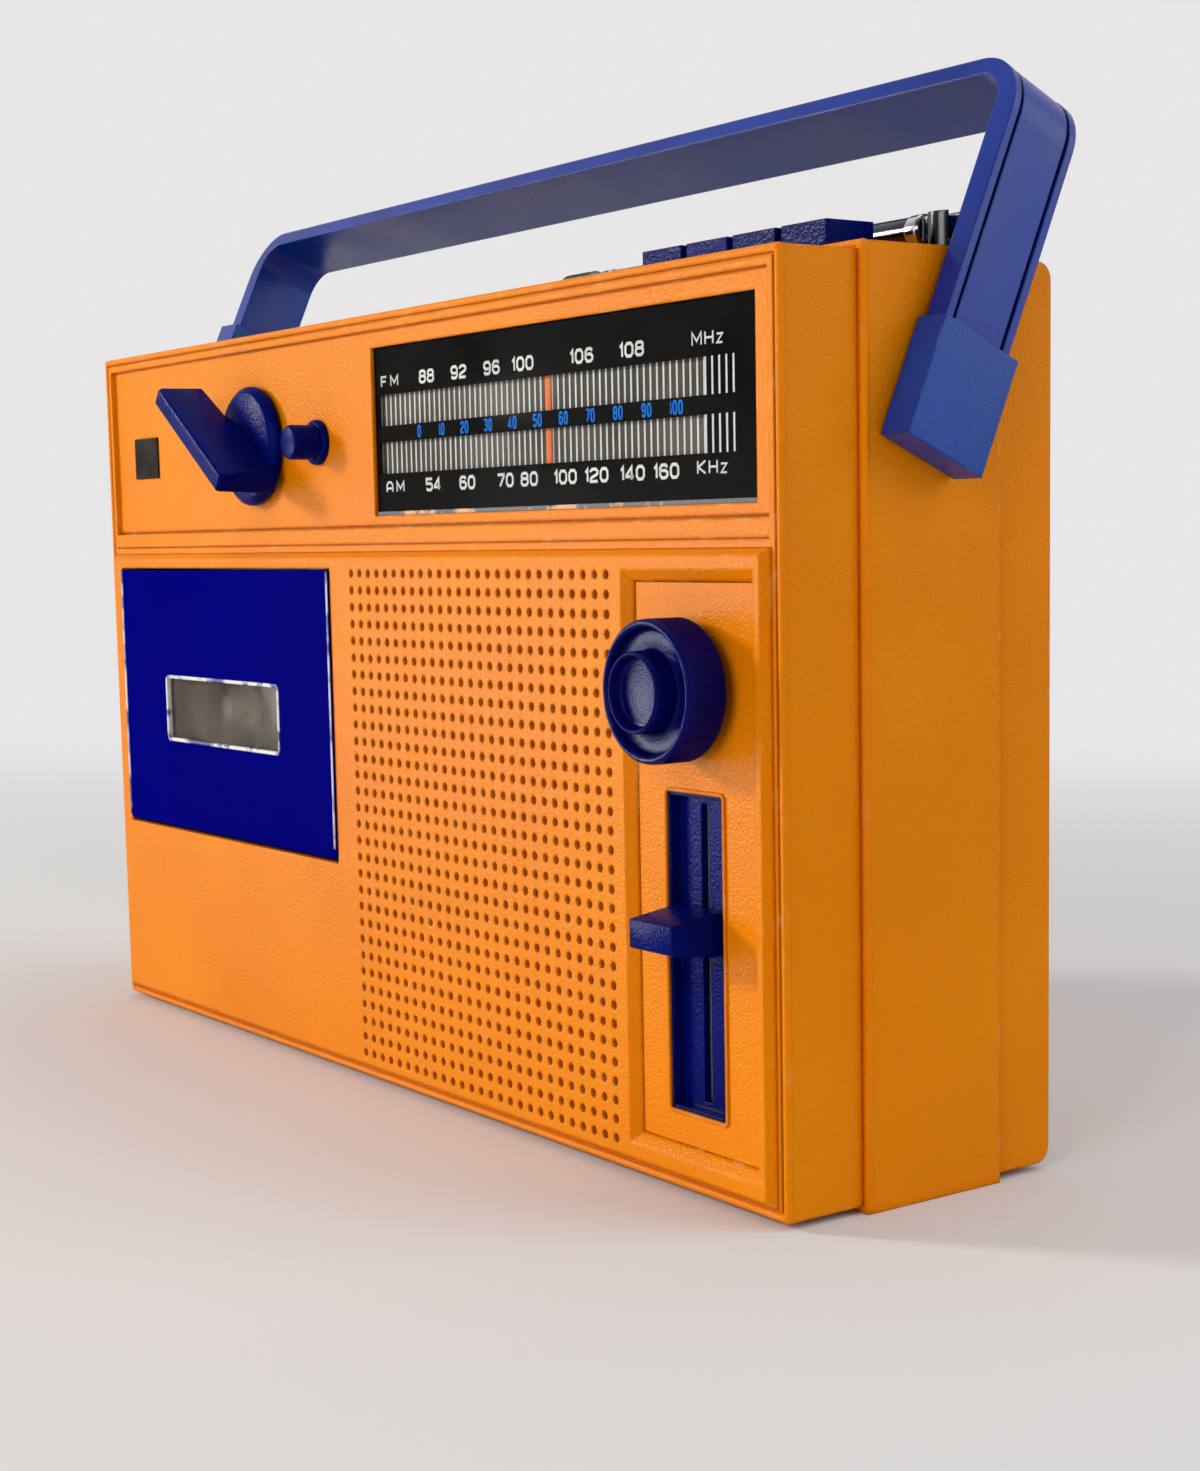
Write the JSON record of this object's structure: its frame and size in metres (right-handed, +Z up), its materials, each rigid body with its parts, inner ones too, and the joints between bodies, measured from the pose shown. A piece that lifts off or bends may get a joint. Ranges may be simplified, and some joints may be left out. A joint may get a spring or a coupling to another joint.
{
  "type": "portable radio cassette recorder",
  "caption": "Portable radio-cassette recorder: orange moulded case, black tuning dial, blue cassette door and knobs, punched speaker grille, piano keys, telescopic antenna and swing handle.",
  "frame": {"origin": "centre of the flat underside of the middle case, on the surface it stands on", "axes": "X to the right as seen from the front, Y to the back, Z up"},
  "size_m": [0.3205, 0.0899, 0.2221],
  "materials": {
    "case_orange": "grained moulded plastic, painted orange, satin",
    "steel": "plain bright steel",
    "dial_glass": "clear plastic pane, printed black inside",
    "black_plastic": "black plastic",
    "pointer_red": "red-orange plastic",
    "grey_plastic": "light grey plastic",
    "cord": "waxed braided cord",
    "satin_blue": "speckled satin blue",
    "door_blue": "deep blue, semi-gloss",
    "handle_blue": "worn blue plastic",
    "window_clear": "smoky clear plastic",
    "brass": "turned brass",
    "rubber": "black rubber",
    "metal_grey": "plated sheet metal",
    "paper_cone": "black paper",
    "board": "brown laminate",
    "ferrite": "dark ferrite",
    "antenna_chrome": "chromed tube"
  },
  "bodies": {
    "case": {"front_shell": "case_orange", "front_panel": "case_orange", "mid_case": "case_orange", "rear_cover": "case_orange", "case_screws": "steel", "dial_glass": "dial_glass", "dial_scale": "black_plastic", "tuning_capacitor": "grey_plastic", "dial_cord": "cord", "slider_plate": "satin_blue", "slider_pot": "grey_plastic", "selector_switch": "black_plastic", "button_collar": "satin_blue", "indicator_lens": "black_plastic", "door_hinge_rod": "steel", "deck_plate": "steel", "motor": "metal_grey", "drive_belt": "rubber", "speaker_frame": "metal_grey", "speaker_cone": "paper_cone", "speaker_magnet": "metal_grey", "main_board": "board", "board_parts": "grey_plastic", "ferrite_rod": "ferrite", "jack_sockets": "black_plastic", "handle_pivots": "steel", "antenna_clip": "black_plastic", "battery_box": "black_plastic", "battery_contacts": "steel", "key_shaft": "steel"},
    "handle": {"handle_frame": "handle_blue", "handle_inlay": "handle_blue", "handle_end_right": "satin_blue", "handle_end_left": "satin_blue"},
    "door": {"cassette_door": "door_blue", "door_window": "window_clear"},
    "tuning": {"tuning_knob": "satin_blue", "tuning_shaft": "steel"},
    "drum": {"cord_drum": "grey_plastic"},
    "pointer": {"dial_pointer": "pointer_red"},
    "volume": {"volume_thumb": "satin_blue"},
    "selector": {"selector_knob": "satin_blue"},
    "lamp_button": {"lamp_button": "satin_blue"},
    "record_key": {"record_key": "satin_blue"},
    "play_key": {"play_key": "satin_blue"},
    "wind_key": {"wind_key": "satin_blue"},
    "stop_key": {"stop_key": "satin_blue"},
    "head_bridge": {"head_bridge": "steel", "tape_heads": "metal_grey"},
    "pinch_roller": {"pinch_roller": "rubber"},
    "supply_spindle": {"supply_spindle": "grey_plastic"},
    "takeup_spindle": {"takeup_spindle": "grey_plastic"},
    "flywheel": {"flywheel": "brass"},
    "motor_pulley": {"motor_pulley": "brass"},
    "antenna_base": {"antenna_base": "antenna_chrome"},
    "antenna_tube_1": {"antenna_tube_1": "antenna_chrome"},
    "antenna_tube_2": {"antenna_tube_2": "antenna_chrome"},
    "antenna_tube_3": {"antenna_tube_3": "antenna_chrome"},
    "battery_cover": {"battery_cover": "case_orange"}
  },
  "joints": [
    {"name": "handle_swing", "type": "hinge", "parent": "case", "child": "handle", "pos_m": [0, 0, 0.1562], "axis": [-1, 0, 0], "range_deg": [-114, 86]},
    {"name": "door_swing", "type": "hinge", "parent": "case", "child": "door", "pos_m": [-0.07875, -0.037, 0.0555], "axis": [1, 0, 0], "range_deg": [0, 40]},
    {"name": "tuning_turn", "type": "hinge", "parent": "case", "child": "tuning", "pos_m": [0.1224, -0.04, 0.1018], "axis": [0, 1, 0], "range_deg": [-670, 510]},
    {"name": "drum_turn", "type": "hinge", "parent": "case", "child": "drum", "pos_m": [0.066, -0.024, 0.138], "axis": [0, 1, 0], "range_deg": [-103, 79]},
    {"name": "pointer_slide", "type": "slide", "parent": "case", "child": "pointer", "axis": [1, 0, 0], "range_m": [-0.0555, 0.0425]},
    {"name": "volume_slide", "type": "slide", "parent": "case", "child": "volume", "axis": [0, 0, 1], "range_m": [-0.031, 0.021]},
    {"name": "selector_turn", "type": "hinge", "parent": "case", "child": "selector", "pos_m": [-0.0594, -0.038, 0.1559], "axis": [0, 1, 0], "range_deg": [-30, 60]},
    {"name": "lamp_press", "type": "slide", "parent": "case", "child": "lamp_button", "axis": [0, 1, 0], "range_m": [0, 0.0025], "stiffness_N_per_m": 200, "springref_m": -0.002},
    {"name": "play_key_press", "type": "hinge", "parent": "case", "child": "play_key", "pos_m": [0.11, 0.012, 0.178], "axis": [1, 0, 0], "range_deg": [0, 8]},
    {"name": "record_key_press", "type": "hinge", "parent": "case", "child": "record_key", "pos_m": [0.11, 0.012, 0.178], "axis": [1, 0, 0], "range_deg": [0, 8], "stiffness_Nm_per_rad": 0.3, "springref_deg": -3.44},
    {"name": "wind_key_press", "type": "hinge", "parent": "case", "child": "wind_key", "pos_m": [0.11, 0.012, 0.178], "axis": [1, 0, 0], "range_deg": [0, 8], "stiffness_Nm_per_rad": 0.3, "springref_deg": -3.44},
    {"name": "stop_key_press", "type": "hinge", "parent": "case", "child": "stop_key", "pos_m": [0.11, 0.012, 0.178], "axis": [1, 0, 0], "range_deg": [0, 8], "stiffness_Nm_per_rad": 0.3, "springref_deg": -3.44},
    {"name": "head_slide", "type": "slide", "parent": "case", "child": "head_bridge", "axis": [0, 0, 1], "range_m": [0, 0.00349], "stiffness_N_per_m": 480, "springref_m": -0.0015},
    {"name": "pinch_roller_spin", "type": "hinge", "parent": "head_bridge", "child": "pinch_roller", "pos_m": [-0.055, -0.024, 0.05285], "axis": [0, 1, 0], "continuous": true},
    {"name": "supply_spin", "type": "hinge", "parent": "case", "child": "supply_spindle", "pos_m": [-0.1, -0.021, 0.08675], "axis": [0, 1, 0], "continuous": true},
    {"name": "takeup_spin", "type": "hinge", "parent": "case", "child": "takeup_spindle", "pos_m": [-0.0575, -0.021, 0.08675], "axis": [0, 1, 0], "continuous": true},
    {"name": "flywheel_spin", "type": "hinge", "parent": "case", "child": "flywheel", "pos_m": [-0.055, -0.013, 0.063], "axis": [0, 1, 0], "continuous": true},
    {"name": "motor_spin", "type": "hinge", "parent": "case", "child": "motor_pulley", "pos_m": [-0.118, -0.013, 0.07], "axis": [0, 1, 0], "continuous": true},
    {"name": "antenna_turn", "type": "hinge", "parent": "case", "child": "antenna_base", "pos_m": [0.1456, 0.0083, 0.1893], "axis": [0, 0, -1], "range_deg": [0, 90]},
    {"name": "antenna_tilt", "type": "hinge", "parent": "antenna_base", "child": "antenna_tube_1", "pos_m": [0.1456, 0.0083, 0.1893], "axis": [0, 1, 0], "range_deg": [0, 90]},
    {"name": "antenna_slide_2", "type": "slide", "parent": "antenna_tube_1", "child": "antenna_tube_2", "axis": [-1, 0, 0], "range_m": [0, 0.09]},
    {"name": "antenna_slide_3", "type": "slide", "parent": "antenna_tube_2", "child": "antenna_tube_3", "axis": [-1, 0, 0], "range_m": [0, 0.09]},
    {"name": "battery_cover_lift", "type": "slide", "parent": "case", "child": "battery_cover", "axis": [0, 1, 0], "range_m": [0, 0.06]}
  ],
  "couplings": [
    {"joint": "pointer_slide", "follows": "tuning_turn", "m_per_rad": 0.0047},
    {"joint": "drum_turn", "follows": "tuning_turn", "ratio": 0.1521},
    {"joint": "play_key_press", "follows": "head_slide", "rad_per_m": 40},
    {"joint": "motor_spin", "follows": "flywheel_spin", "ratio": 4.125}
  ]
}
